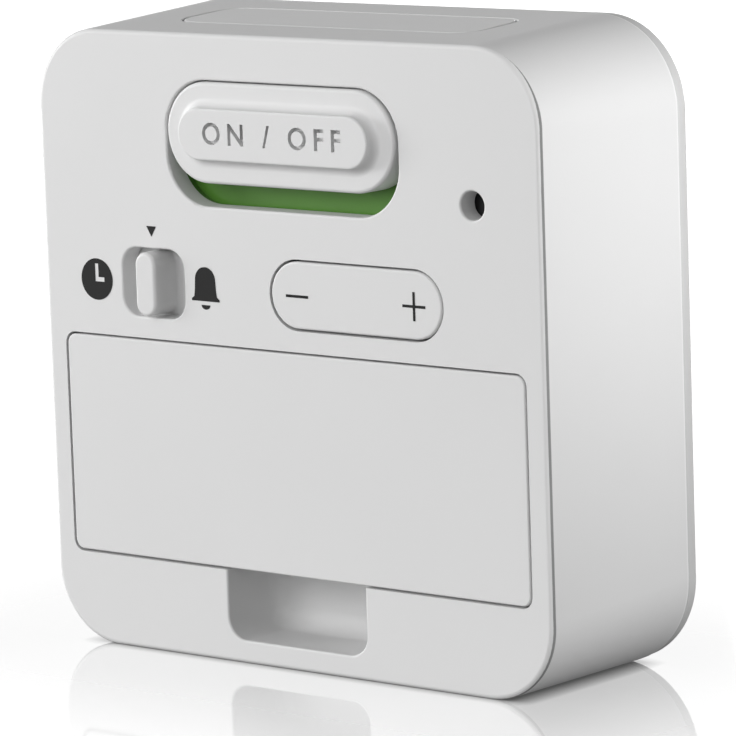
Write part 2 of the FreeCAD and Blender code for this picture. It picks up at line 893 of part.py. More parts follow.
def link_pin_row(extra):
    return Part.makeCompound([disc(x, z, link_pin_radius + extra, switch_board_depth - link_pin_proud,
                                   main_board_front) for x, z in link_places()])


def turned_brick(x, z, across, along, upright, near, far):
    """Brick whose length lies along X, or along Z when upright."""
    if upright:
        return brick(x, z, across, along, near, far)
    return brick(x, z, along, across, near, far)


def switch_case(x, z, travel, upright):
    """Case of a slide switch. x and z are the middle of its lever's travel."""
    length = lever_foot_length + travel + 2 * (switch_end_wall + seat_gap)
    case = turned_brick(x, z, switch_width, length, upright, switch_face, switch_board_depth)
    cavity = turned_brick(x, z, lever_foot_width + 2 * seat_gap,
                          lever_foot_length + travel + 2 * seat_gap, upright,
                          switch_face + switch_lid, switch_board_depth - switch_base)
    slot = turned_brick(x, z, lever_width + 2 * seat_gap, lever_length + travel + 2 * seat_gap,
                        upright, switch_face - overrun, switch_face + switch_lid + seam)
    return case.cut([cavity, slot])


def switch_lever(x, z, upright):
    foot = turned_brick(x, z, lever_foot_width, lever_foot_length, upright, foot_top, foot_bottom)
    stem = turned_brick(x, z, lever_width, lever_length, upright, lever_tip, foot_top)
    return foot.fuse(stem).removeSplitter()


def lever_socket(x, z, near, upright):
    """Block under a slide with a hole that takes the switch lever."""
    socket = brick(x, z, socket_width, socket_width, near, socket_end)
    hole = turned_brick(x, z, lever_width + 2 * seat_gap, lever_length + 2 * seat_gap, upright,
                        lever_tip - seat_gap, socket_end + overrun)
    return socket.cut(hole)


# Alarm slide

def alarm_slide():
    """Stadium cap with a raised pad, two snap legs and a socket for the switch lever."""
    pad = tile(0, alarm_z, pad_width, pad_height, pad_height / 2, -pad_proud,
               seam - alarm_face_proud)
    pad = soften(pad, pad_top_round, at_depth(pad, -pad_proud))
    cap = tile(0, alarm_z, alarm_cap_width, alarm_cap_height, alarm_cap_height / 2,
               -alarm_face_proud, cap_back)
    cap = soften(cap, alarm_cap_round, at_depth(cap, -alarm_face_proud))
    slide = joined(cap, [pad])
    foot = at_depth(slide, -alarm_face_proud, 0, alarm_z, pad_width, pad_height)
    slide = soften(slide, pad_root_round, foot)
    legs = []
    catch = track_back + seat_gap
    for side, x in zip((-1, 1), mirrored(leg_spacing)):
        legs.append(brick(x, alarm_z, leg_width, leg_height, cap_back - seam,
                          catch + leg_hook_thickness))
        legs.append(brick(x + side * leg_hook, alarm_z, leg_width, leg_height, catch,
                          catch + leg_hook_thickness))
    socket = lever_socket(0, alarm_z, cap_back - seam, True)
    return joined(slide, legs + [socket])


def alarm_track():
    """Green lining below the alarm opening, slotted for the slide's legs and socket."""
    half = alarm_opening_width / 2
    track = slab(-track_edge, track_edge, alarm_opening_bottom - track_lip,
                 alarm_opening_top + track_lip, alarm_radius + track_lip, back_wall, track_back)
    pocket = slab(-half - track_undercut, half + track_undercut, alarm_opening_bottom - track_undercut,
                  alarm_opening_top + track_undercut, alarm_radius + track_undercut, back_wall,
                  track_floor_depth)
    slots = []
    for x, width, height in ((-leg_spacing / 2, leg_width, leg_height),
                             (leg_spacing / 2, leg_width, leg_height), (0, socket_width, socket_width)):
        slots.append(block(x - width / 2 - slide_gap, x + width / 2 + slide_gap,
                           alarm_z - alarm_travel - height / 2 - slide_gap,
                           alarm_z + height / 2 + slide_gap, back_wall, track_back + overrun))
    return track.cut([pocket] + slots)


# Selector

def selector_knob():
    """Upright stadium ridge that flares into a plate behind the back wall."""
    knob = tile(selector_x, selector_z, knob_width, knob_height, knob_width / 2, -knob_proud,
                selector_plate_depth + seam)
    knob = soften(knob, knob_top_round, at_depth(knob, -knob_proud))
    plate = brick(selector_x, selector_z, 2 * selector_plate_half, plate_height,
                  selector_plate_depth, selector_plate_back)
    socket = lever_socket(selector_x, selector_z, selector_plate_back - seam, False)
    knob = joined(plate, [knob])
    foot = at_depth(knob, selector_plate_depth, selector_x, selector_z, knob_width, knob_height)
    return joined(soften(knob, knob_root_round, foot), [socket])


# Rocker

def rocker_key():
    """Stadium key with two feet, on a web with a pin at each end."""
    width = rocker_opening_width - 2 * rocker_gap
    height = rocker_opening_height - 2 * rocker_gap
    key = tile(rocker_x, rocker_z, width, height, height / 2, 0, rocker_thickness)
    key = soften(key, rocker_edge_round, at_depth(key, 0))
    web_end = rocker_thickness + rocker_web_depth
    web = brick(rocker_x, rocker_z, rocker_web_width, 2 * (ear_inner - swing_gap) - rocker_gap,
                rocker_thickness - seam, web_end)
    pin_half = ear_inner + ear_thickness
    pin = Part.makeCylinder(rocker_pin_radius, 2 * pin_half,
                            V(rocker_x, y_at(rocker_pivot_depth), rocker_z - pin_half), ALONG_Z)
    feet = [disc(rocker_x + x, rocker_z, rocker_foot_radius, rocker_thickness - seam, dome_top)
            for x in mirrored(rocker_foot_spacing)]
    return joined(key, [web, pin] + feet)


def cone_on(x, depth_wide, depth_tip, radius_wide, radius_tip):
    return Part.makeCone(radius_wide, radius_tip, depth_wide - depth_tip,
                         V(x, y_at(depth_wide), rocker_z), INWARD * -1)


def rocker_keypad():
    """Rubber sheet on the switch board with a hollow dome under each end of the key."""
    length = rocker_foot_spacing + 2 * (dome_base_radius + keypad_margin)
    height = 2 * (dome_base_radius + keypad_margin)
    sheet_near = switch_board_depth - keypad_sheet
    pad = tile(rocker_x, rocker_z, length, height, height / 2, sheet_near, switch_board_depth)
    domes = []
    hollows = []
    for x in mirrored(rocker_foot_spacing):
        domes.append(cone_on(rocker_x + x, sheet_near + seam, dome_top, dome_base_radius,
                             dome_tip_radius))
        hollows.append(cone_on(rocker_x + x, switch_board_depth, dome_top + 2 * dome_wall,
                               dome_base_radius - dome_wall, dome_tip_radius - dome_wall))
    return joined(pad, domes).cut(hollows)


# Loudspeaker

def turned_part(radii_and_depths):
    """Solid of revolution about the sound hole's axis from a profile of radii and depths."""
    points = [V(sound_hole_x + radius, y_at(depth), sound_hole_z)
              for radius, depth in radii_and_depths]
    face = Part.Face(Part.makePolygon(points + points[:1]))
    return face.revolve(V(sound_hole_x, 0, sound_hole_z), INWARD, 360)


def speaker_gasket():
    return ring(sound_hole_x, sound_hole_z, speaker_radius - gasket_width, speaker_radius,
                back_wall, gasket_back)


def speaker_basket():
    """Shallow steel cup, open towards the sound hole, with a hole for the magnet's centre."""
    return turned_part([(speaker_radius, gasket_back), (speaker_radius, basket_back),
                        (cone_roof_radius, basket_back), (cone_roof_radius, basket_back - basket_wall),
                        (speaker_radius - basket_wall, basket_back - basket_wall),
                        (speaker_radius - basket_wall, gasket_back)])


def speaker_cone():
    """Thin film with a raised ring and a flat roof, held by its rim inside the cup."""
    rim = gasket_back + basket_wall
    reach = speaker_radius - basket_wall - seam
    return turned_part([(reach, rim), (cone_slope_radius, rim), (cone_roof_radius, rim - cone_rise),
                        (0, rim - cone_rise), (0, rim - cone_rise + cone_thickness),
                        (cone_roof_radius, rim - cone_rise + cone_thickness),
                        (cone_slope_radius, rim + cone_thickness), (reach, rim + cone_thickness)])


def speaker_magnet():
    return disc(sound_hole_x, sound_hole_z, magnet_radius, basket_back, basket_back + magnet_height)


def speaker_leads():
    return Part.makeCompound([disc(sound_hole_x + x, sound_hole_z - lead_place, lead_radius,
                                   basket_back, switch_board_depth) for x in mirrored(lead_spacing)])


# Bar in the top

def talk_bar():
    """Key cut from the top of the case, with a flange below the wall and a post."""
    case = case_block(0, 0, case_depth)
    cap = case.common(flat_slab(bar_length - 2 * bar_gap, bar_width - 2 * bar_gap,
                                bar_radius - bar_gap, flange_top - seam, case_top(case_depth)))
    upper = max(cap.Faces, key=lambda face: face.CenterOfMass.z)
    cap = soften(cap, bar_edge_round, upper.Edges)
    flange = flat_slab(bar_length + 2 * flange_overhang, bar_width + 2 * flange_overhang,
                       bar_radius + flange_overhang, flange_bottom, flange_top)
    post = Part.makeCylinder(bar_post_radius, flange_bottom - talk_stem_top + seam,
                             V(0, y_at(talk_switch_axis), talk_stem_top), ALONG_Z)
    return joined(cap, [flange, post])


def bar_return_domes():
    domes = []
    for x in mirrored(rib_spacing):
        base = V(x, y_at(bar_depth), rib_top)
        height = flange_bottom - rib_top
        dome = Part.makeCone(return_dome_radius, return_dome_tip_radius, height, base, ALONG_Z)
        domes.append(dome.cut(Part.makeCylinder(return_dome_bore, height / 2, base, ALONG_Z)))
    return Part.makeCompound(domes)


def talk_switch():
    """Push switch that lies on the board, with its stem upward."""
    case = block(-talk_switch_width / 2, talk_switch_width / 2, talk_switch_bottom, talk_switch_top,
                 switch_board_front, switch_board_front + talk_switch_depth)
    well = Part.makeCylinder(talk_stem_radius + pin_gap, talk_stem_hidden + bar_travel + overrun,
                             V(0, y_at(talk_switch_axis),
                               talk_switch_top - talk_stem_hidden - bar_travel - seat_gap), ALONG_Z)
    return case.cut(well)


def talk_stem():
    return Part.makeCylinder(talk_stem_radius, talk_stem_hidden + talk_stem_proud,
                             V(0, y_at(talk_switch_axis), talk_switch_top - talk_stem_hidden), ALONG_Z)


# Battery door, cells and contacts

def battery_door():
    half = door_opening_width / 2 - door_gap
    top = door_opening_top - door_gap
    door = slab(-half, half, door_opening_bottom + door_gap, top, door_corner_radius - door_gap,
                0, door_thickness)
    door = soften(door, door_edge_round, at_depth(door, 0))
    extras = [brick(0, bay_centre, 2 * (contact_inner - lip_thickness - spring_length), door_rib_width,
                    door_thickness - seam, door_thickness + door_rib_height)]
    for x in mirrored(hook_spacing):
        left, right = x - hook_width / 2, x + hook_width / 2
        extras.append(block(left, right, top - hook_root, top, door_thickness - seam, hook_far))
        extras.append(block(left, right, top - hook_root, door_opening_top + hook_reach, hook_near,
                            hook_far))
    latch_low = bay_bottom + 2 * swing_gap
    for x in mirrored(latch_spacing):
        extras.append(block(x - latch_width / 2, x + latch_width / 2, latch_low,
                            latch_low + latch_thickness, door_thickness - seam,
                            door_thickness + latch_length))
    return joined(door, extras)


def cell(row):
    """Cell with its nub towards +X in the upper row and -X in the lower one."""
    tip = row * (contact_inner - dimple_height)
    shoulder = tip - row * cell_nub_length
    end = tip - row * cell_length
    axis = V(row, 0, 0)
    middle = y_at(cell_depth)
    can = Part.makeCylinder(cell_radius, cell_length - cell_nub_length, V(end, middle, cell_row(row)),
                            axis)
    rims = [edge for edge in can.Edges if edge.BoundBox.XLength < seam]
    can = soften(can, cell_rim_round, rims)
    nub = Part.makeCylinder(cell_nub_radius, cell_nub_length + seam,
                            V(shoulder - row * seam, middle, cell_row(row)), axis)
    return joined(can, [nub])


def contact_plate(side, low, high, dimples, tails):
    """Sprung steel plate against an end wall, side 1 at +X and -1 at -X."""
    inner, outer = side * contact_inner, side * contact_outer
    plate = block(min(inner, outer), max(inner, outer), low, high, ledge_depth + contact_lead_in,
                  bay_floor)
    extras = []
    for row in dimples:
        extras.append(Part.makeCone(dimple_radius, cell_nub_radius, dimple_height,
                                    V(inner, y_at(cell_depth), cell_row(row)), V(-side, 0, 0)))
    for row in tails:
        extras.append(block(min(inner, outer), max(inner, outer), cell_row(row) - tail_width / 2,
                            cell_row(row) + tail_width / 2, bay_floor - seam, main_board_back))
    return joined(plate, extras)


def spring_point(row, turn):
    """Centre of the wire after so many turns, from the plate to the cell."""
    share = turn / spring_turns
    radius = spring_base_radius + (spring_tip_radius - spring_base_radius) * share
    travel = spring_length - 2 * spring_wire_radius
    x = -row * (contact_inner - spring_wire_radius - travel * share)
    angle = 2 * math.pi * turn
    return V(x, y_at(cell_depth) + radius * math.cos(angle),
             cell_row(row) + radius * math.sin(angle))


def spring_tangent(row, turn):
    step = seam / spring_base_radius
    return (spring_point(row, turn + step) - spring_point(row, turn - step)).normalize()


def battery_spring(row):
    """Conical coil of wire, each quarter turn as a pair of arcs that meet smoothly."""
    edges = []
    quarters = 4 * spring_turns
    for i in range(quarters):
        start, end = spring_point(row, i / 4), spring_point(row, (i + 1) / 4)
        leave, arrive = spring_tangent(row, i / 4), spring_tangent(row, (i + 1) / 4)
        span = end - start
        both = leave + arrive
        spread = 2 * (1 - leave.dot(arrive))
        reach = (math.sqrt(span.dot(both) ** 2 + spread * span.dot(span)) - span.dot(both)) / spread
        middle = (start + leave * reach + end - arrive * reach) * 0.5
        edges.append(bend(start, middle, leave))
        back = bend(end, middle, arrive * -1)
        edges.append(back)
    path = Part.Wire(Part.__sortEdges__(edges))
    circle = Part.Circle(spring_point(row, 0), spring_tangent(row, 0), spring_wire_radius)
    return path.makePipeShell([Part.Wire([circle.toShape()])], True, False)


def least_spring_gap():
    steps = 48
    points = [spring_point(1, i / steps) for i in range(steps * spring_turns + 1)]
    gaps = [points[i].distanceToPoint(points[j]) for i in range(len(points))
            for j in range(i + steps // 2, len(points))]
    return min(gaps) - 2 * spring_wire_radius


def build():
    os.makedirs("parts", exist_ok=True)
    middle_low = bay_centre - contact_split / 2
    middle_high = bay_centre + contact_split / 2
    pieces = {
        "rear_housing": rear_housing(),
        "front_frame": front_frame(),
        "display_window": display_window(),
        "window_mask": window_mask(),
        "lcd_front_glass": lcd_front_glass(),
        "lcd_rear_glass": lcd_rear_glass(),
        "light_guide": light_guide(),
        "backlight_lamps": backlight_lamps(),
        "contact_strips": contact_strips(),
        "lcd_holder": lcd_holder(),
        "main_board": main_board(),
        "voice_chip": chip_blob(chip_spacing / 2),
        "clock_chip": chip_blob(-chip_spacing / 2),
        "crystal_can": crystal_can(),
        "capacitors": capacitors(),
        "main_board_screws": main_board_screws(),
        "switch_board": switch_board(),
        "switch_board_screws": switch_board_screws(),
        "link_header": link_header(),
        "link_pins": link_pin_row(0),
        "alarm_track": alarm_track(),
        "alarm_slide": alarm_slide(),
        "alarm_switch_case": switch_case(0, alarm_z - alarm_travel / 2, alarm_travel, True),
        "alarm_switch_lever": switch_lever(0, alarm_z, True),
        "selector_knob": selector_knob(),
        "selector_switch_case": switch_case(selector_x, selector_z, 2 * selector_travel, False),
        "selector_switch_lever": switch_lever(selector_x, selector_z, False),
        "rocker_key": rocker_key(),
        "rocker_keypad": rocker_keypad(),
        "speaker_gasket": speaker_gasket(),
        "speaker_basket": speaker_basket(),
        "speaker_cone": speaker_cone(),
        "speaker_magnet": speaker_magnet(),
        "speaker_leads": speaker_leads(),
        "talk_bar": talk_bar(),
        "bar_return_domes": bar_return_domes(),
        "talk_switch": talk_switch(),
        "talk_stem": talk_stem(),
        "battery_door": battery_door(),
        "upper_cell": cell(1),
        "lower_cell": cell(-1),
        "bridge_contact": contact_plate(1, plate_bottom, plate_top, [1], []),
        "positive_contact": contact_plate(-1, plate_bottom, middle_low, [-1], [-1]),
        "negative_contact": contact_plate(-1, middle_high, plate_top, [], [1]),
        "battery_springs": Part.makeCompound([battery_spring(row) for row in (-1, 1)]),
    }
    for name, shape in pieces.items():
        sound = shape.isValid() and shape.Solids and all(solid.isClosed() for solid in shape.Solids)
        print(name, len(shape.Solids), "solids", round(shape.Volume, 1), "mm3", "ok" if sound else "BAD")
        save(name, shape)
    print("least gap between the battery springs' turns", round(least_spring_gap(), 2))


build()
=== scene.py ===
import math

import bmesh
import bpy
from mathutils import Matrix, Vector


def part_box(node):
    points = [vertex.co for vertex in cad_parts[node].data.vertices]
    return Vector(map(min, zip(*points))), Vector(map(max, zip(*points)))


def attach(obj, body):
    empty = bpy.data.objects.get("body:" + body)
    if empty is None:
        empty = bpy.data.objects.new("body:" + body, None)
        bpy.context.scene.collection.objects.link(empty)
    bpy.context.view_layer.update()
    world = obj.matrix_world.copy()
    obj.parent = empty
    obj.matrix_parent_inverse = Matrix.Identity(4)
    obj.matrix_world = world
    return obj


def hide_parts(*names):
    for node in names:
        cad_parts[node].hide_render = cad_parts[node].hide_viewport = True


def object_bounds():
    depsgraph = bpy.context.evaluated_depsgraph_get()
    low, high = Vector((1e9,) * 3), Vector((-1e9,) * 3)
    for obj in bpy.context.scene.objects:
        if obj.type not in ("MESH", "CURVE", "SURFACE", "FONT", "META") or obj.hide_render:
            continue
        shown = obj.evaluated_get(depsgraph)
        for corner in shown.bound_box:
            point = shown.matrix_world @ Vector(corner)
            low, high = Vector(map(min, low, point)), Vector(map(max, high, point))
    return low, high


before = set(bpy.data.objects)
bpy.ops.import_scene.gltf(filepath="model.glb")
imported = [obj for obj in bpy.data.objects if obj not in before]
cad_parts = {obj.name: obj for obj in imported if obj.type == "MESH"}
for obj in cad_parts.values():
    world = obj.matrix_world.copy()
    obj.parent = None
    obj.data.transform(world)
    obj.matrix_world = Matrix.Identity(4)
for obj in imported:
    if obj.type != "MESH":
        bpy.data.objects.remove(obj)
cad_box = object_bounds()

# Lengths below are in millimetres and become metres through MM.
MM = 0.001

# Outer section of the case, with the values of the part's source
BACK_HALF = 35.0
BACK_HEIGHT = 69.0
BACK_CORNER = 8.5
SIDE_FLARE = 1.6
TOP_FLARE = 1.5
CASE_DEPTH = 23.7
BACK_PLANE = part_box("battery_door")[1].y / MM
BACK_ROUND = 0.5

# Dark line of painted shade next to the back, along its rounded edge: depths below the back, and
# degrees round the upper corners
SHADE_LINE_START = 0.24
SHADE_LINE_END = 0.56
SHADE_LINE_PROUD = 0.02
SHADE_LINE_SUNK = 0.08
SHADE_LINE_END_ANGLE = 62
SHADE_LINE_TAPER = 50
SHADE_LINE_TIP = 0.02
SHADE_LINE_STEPS = 40

# Front frame: its inset and round in the part's source, and the smaller round that is drawn
FRAME_INSET = 0.12
FRAME_ROUND = 1.1
FRAME_EDGE = 0.35
FRAME_SLACK = 0.01
FRAME_SHARP_ANGLE = 35

# Camera, fitted to the straight edges of the photograph
PHOTO_PIXELS = 736
FOCAL_PIXELS = 5041.35
SENSOR = 36.0
CLIP_START = 10
CAMERA_PLACE = (-349.83, 416.24, 118.29)
CAMERA_RIGHT = (-0.77027, -0.63686, -0.03322)
CAMERA_DOWN = (-0.07503, 0.14222, -0.98699)
CAMERA_FORWARD = (0.63329, -0.75775, -0.15733)

# Signs printed on the back and on the rocker
INK_THICKNESS = 0.03
INK_LIFT = 0.01
STROKE = 0.30
CLOCK_X = 27.37
CLOCK_Z = 41.22
CLOCK_RADIUS = 2.32
CLOCK_STEPS = 72
HAND_UP = 1.75
HAND_SIDE = 1.1
HAND_WIDTH = 0.5
BELL_X = 11.4
BELL_TOP = 43.56
BELL_BASE = 39.8
BELL_HALF = 1.45
BELL_FLARE = 0.54
BELL_RIM = 0.5
BELL_SKIRT_FLARE = BELL_FLARE / 3
BELL_WAIST_FLARE = BELL_FLARE / 8
BELL_WAIST_RISE = (BELL_TOP - BELL_BASE) / 5
BELL_STEPS = 24
CLAPPER_HALF = 0.62
CLAPPER_TOP = 39.38
CLAPPER_DROP = 0.5
CLAPPER_STEPS = 12
POINTER_Z = 47.6
POINTER_HALF = 0.7
POINTER_HEIGHT = 1.15
MINUS_X = -1.68
PLUS_X = -17.8
SIGN_Z = 41.2
SIGN_LENGTH = 3.1

# Studio lights: place, target and size in millimetres, and power in watts
SOFTBOXES = {
    "high_back_softbox": ((260, 900, 370), (0, 0, 35), (700, 600), 4.5),
    "left_back_softbox": ((900, 350, 120), (0, 0, 35), (300, 300), 5.7),
    "side_softbox": ((-120, -8, 65), (-36, -8, 65), (40, 40), 0.070),
    "low_side_softbox": ((-400, -200, 100), (-36, 0, 35), (200, 200), 0.17),
    "display_softbox": ((300, -900, 60), (0, 0, 35), (500, 300), 5.0),
}

# Ambient light: its level near the horizon, and what the side of the back adds
AMBIENT_LEVEL = 0.11
AMBIENT_BACK = 0.69

# Floor: glow is what the camera sees, and fill is what lights the clock from below
FLOOR_REACH = 6000.0
FLOOR_DIFFUSE = 0.25
FLOOR_GLOW = 1.0
FLOOR_FILL = 0.07
FLOOR_ROUGHNESS = 0.04
CONTACT_REACH = 1.6
CONTACT_POWER = 0.8
REFLECTION = 0.55
REFLECTION_REACH = 68.0

# Lettering sunk in the alarm pad
LETTER_HEIGHT = 2.3
LETTER_DEPTH = 0.8
LETTER_SPACING = 1.5
LETTER_BOLDNESS = 0.06
LETTER_CURVES = 6
CAPITAL_SHARE = 0.7

# Time on the display, with seven segments to a digit
TIME_DIGITS = "1008"
TIME_PLACES = (-18.8, -9.2, 3.2, 13.2)
TIME_RISE = 1
COLON_X = -3
COLON_HALF_GAP = 3.2
DIGIT_WIDTH = 7.6
DIGIT_HEIGHT = 15.0
DIGIT_STROKE = 1.5
DIGIT_LEAN = 0.10
SEGMENT_GAP = 0.12
SEGMENTS_SHOWN = {"1": "bc", "0": "abcdef", "8": "abcdefg"}

# Sleeves of the cells
CELL_BODY = (0.020, 0.030, 0.050)
CELL_BAND = (0.45, 0.22, 0.08)
CELL_STEEL = (0.55, 0.55, 0.55)
CELL_RIM = 1.0 * MM
CELL_NUB = 1.1 * MM
CELL_BAND_WIDTH = 11.0 * MM

# Surface finish, and the painted highlight along the shell's front edge
CASE = (0.70, 0.70, 0.70)
# Painted highlight along the shell's front edge: its depth below the back, its blur, and how much
# lighter it is
EDGE_HIGHLIGHT_DEPTH = 21.84
EDGE_HIGHLIGHT_BLUR = 0.05
EDGE_HIGHLIGHT_GAIN = 0.14
CLOUD_SCALE = 60.0
CLOUD_DETAIL = 3.0
CLOUD_LOW = 0.3
CLOUD_HIGH = 0.7
GRAIN_DETAIL = 2.0
GLOSS_CHANGE = 0.05
GLOSS_FLOOR = 0.02
SLEEVE_GRAIN = 2500.0
SLEEVE_DETAIL = 3.0
SLEEVE_ROUGHNESS = 0.3
SLEEVE_GLOSS_CHANGE = 0.06
SLEEVE_METALLIC = 0.6

# Distances at which doubled points are joined
DRAWN_WELD = 0.001
COPY_WELD = 0.0005

# Turns that stand a flat mesh upright. Someone behind the clock sees +X on their left, so there
# the mesh's first axis becomes -X.
TOWARDS_BACK = Matrix(((-1, 0, 0, 0), (0, 0, 1, 0), (0, 1, 0, 0), (0, 0, 0, 1)))
TOWARDS_FRONT = Matrix(((1, 0, 0, 0), (0, 0, -1, 0), (0, 1, 0, 0), (0, 0, 0, 1)))


def metres(*lengths):
    return Vector(lengths) * MM


def collection():
    return bpy.context.scene.collection


# Materials

def new_material(name):
    material = bpy.data.materials.new(name)
    material.use_nodes = True
    material.node_tree.nodes.clear()
    return material


def add_node(tree, kind, **values):
    node = tree.nodes.new(kind)
    for key, value in values.items():
        setattr(node, key, value)
    return node


def maths(tree, operation, *sources):
    """Math node whose inputs are numbers or sockets."""
    node = add_node(tree, "ShaderNodeMath", operation=operation)
    for socket, source in zip(node.inputs, sources):
        if isinstance(source, bpy.types.NodeSocket):
            tree.links.new(source, socket)
        else:
            socket.default_value = source
    return node.outputs["Value"]


def noise(tree, scale, detail):
    coordinates = add_node(tree, "ShaderNodeTexCoord")
    node = add_node(tree, "ShaderNodeTexNoise")
    node.inputs["Scale"].default_value = scale
    node.inputs["Detail"].default_value = detail
    tree.links.new(coordinates.outputs["Object"], node.inputs["Vector"])
    return node.outputs["Fac"]


def ramp(tree, source, low, high):
    node = add_node(tree, "ShaderNodeValToRGB")
    node.color_ramp.elements[0].position = CLOUD_LOW
    node.color_ramp.elements[1].position = CLOUD_HIGH
    node.color_ramp.elements[0].color = low
    node.color_ramp.elements[1].color = high
    tree.links.new(source, node.inputs["Fac"])
    return node.outputs["Color"]


def shade(colour, factor):
    return tuple(min(1.0, channel * factor) for channel in colour) + (1.0,)


def spread(tree, source, low, high):
    node = add_node(tree, "ShaderNodeMapRange")
    node.inputs["To Min"].default_value = low
    node.inputs["To Max"].default_value = high
    tree.links.new(source, node.inputs["Value"])
    return node.outputs["Result"]


def bump(tree, source, strength, distance):
    node = add_node(tree, "ShaderNodeBump")
    node.inputs["Strength"].default_value = strength
    node.inputs["Distance"].default_value = distance * MM
    tree.links.new(source, node.inputs["Height"])
    return node.outputs["Normal"]


def painted_edge_highlight(tree, colour):
    """Painted highlight: plastic drawn a little lighter along the shell's front edge."""
    coordinates = add_node(tree, "ShaderNodeTexCoord")
    split = add_node(tree, "ShaderNodeSeparateXYZ")
    tree.links.new(coordinates.outputs["Object"], split.inputs["Vector"])
    near = add_node(tree, "ShaderNodeMapRange")
    near.inputs["From Min"].default_value = (BACK_PLANE - EDGE_HIGHLIGHT_DEPTH) * MM
    near.inputs["From Max"].default_value = (BACK_PLANE - EDGE_HIGHLIGHT_DEPTH - EDGE_HIGHLIGHT_BLUR) * MM
    tree.links.new(split.outputs["Y"], near.inputs["Value"])
    lighter = add_node(tree, "ShaderNodeVectorMath", operation="SCALE")
    tree.links.new(colour, lighter.inputs[0])
    tree.links.new(maths(tree, "MULTIPLY_ADD", near.outputs["Result"], EDGE_HIGHLIGHT_GAIN, 1.0),
                   lighter.inputs["Scale"])
    return lighter.outputs["Vector"]


def solid(name, colour, roughness=0.5, vary=0.03, grain=9000.0, grain_depth=0.004,
          grain_strength=0.25, metallic=0.0, transmission=0.0, specular=0.5, ior=1.5,
          edge_highlight=False):
    """Moulded or plated surface: soft change of colour, fine grain and uneven gloss."""
    material = new_material(name)
    tree = material.node_tree
    output = add_node(tree, "ShaderNodeOutputMaterial")
    shader = add_node(tree, "ShaderNodeBsdfPrincipled")
    shader.inputs["Metallic"].default_value = metallic
    shader.inputs["Transmission Weight"].default_value = transmission
    shader.inputs["Specular IOR Level"].default_value = specular
    shader.inputs["IOR"].default_value = ior
    clouds = noise(tree, CLOUD_SCALE, CLOUD_DETAIL)
    shown = ramp(tree, clouds, shade(colour, 1 - vary), shade(colour, 1 + vary))
    # Painted highlight: the shell's front edge drawn lighter
    if edge_highlight:
        shown = painted_edge_highlight(tree, shown)
    tree.links.new(shown, shader.inputs["Base Color"])
    fine = noise(tree, grain, GRAIN_DETAIL)
    uneven = spread(tree, fine, max(GLOSS_FLOOR, roughness - GLOSS_CHANGE),
                    min(1.0, roughness + GLOSS_CHANGE))
    tree.links.new(uneven, shader.inputs["Roughness"])
    tree.links.new(bump(tree, fine, grain_strength, grain_depth), shader.inputs["Normal"])
    tree.links.new(shader.outputs["BSDF"], output.inputs["Surface"])
    return material


def banded(name, colours, edges):
    """Printed sleeve with bands across its length, each from an edge in metres to the next."""
    material = new_material(name)
    tree = material.node_tree
    output = add_node(tree, "ShaderNodeOutputMaterial")
    shader = add_node(tree, "ShaderNodeBsdfPrincipled")
    shader.inputs["Metallic"].default_value = SLEEVE_METALLIC
    coordinates = add_node(tree, "ShaderNodeTexCoord")
    split = add_node(tree, "ShaderNodeSeparateXYZ")
    tree.links.new(coordinates.outputs["Object"], split.inputs["Vector"])
    along = add_node(tree, "ShaderNodeMapRange")
    along.inputs["From Min"].default_value = edges[0]
    along.inputs["From Max"].default_value = edges[-1]
    tree.links.new(split.outputs["X"], along.inputs["Value"])
    bands = add_node(tree, "ShaderNodeValToRGB")
    bands.color_ramp.interpolation = "CONSTANT"
    while len(bands.color_ramp.elements) < len(colours):
        bands.color_ramp.elements.new(1.0)
    for element, colour, edge in zip(bands.color_ramp.elements, colours, edges):
        element.position = (edge - edges[0]) / (edges[-1] - edges[0])
        element.color = shade(colour, 1.0)
    tree.links.new(along.outputs["Result"], bands.inputs["Fac"])
    tree.links.new(bands.outputs["Color"], shader.inputs["Base Color"])
    uneven = spread(tree, noise(tree, SLEEVE_GRAIN, SLEEVE_DETAIL),
                    SLEEVE_ROUGHNESS - SLEEVE_GLOSS_CHANGE, SLEEVE_ROUGHNESS + SLEEVE_GLOSS_CHANGE)
    tree.links.new(uneven, shader.inputs["Roughness"])
    tree.links.new(shader.outputs["BSDF"], output.inputs["Surface"])
    return material


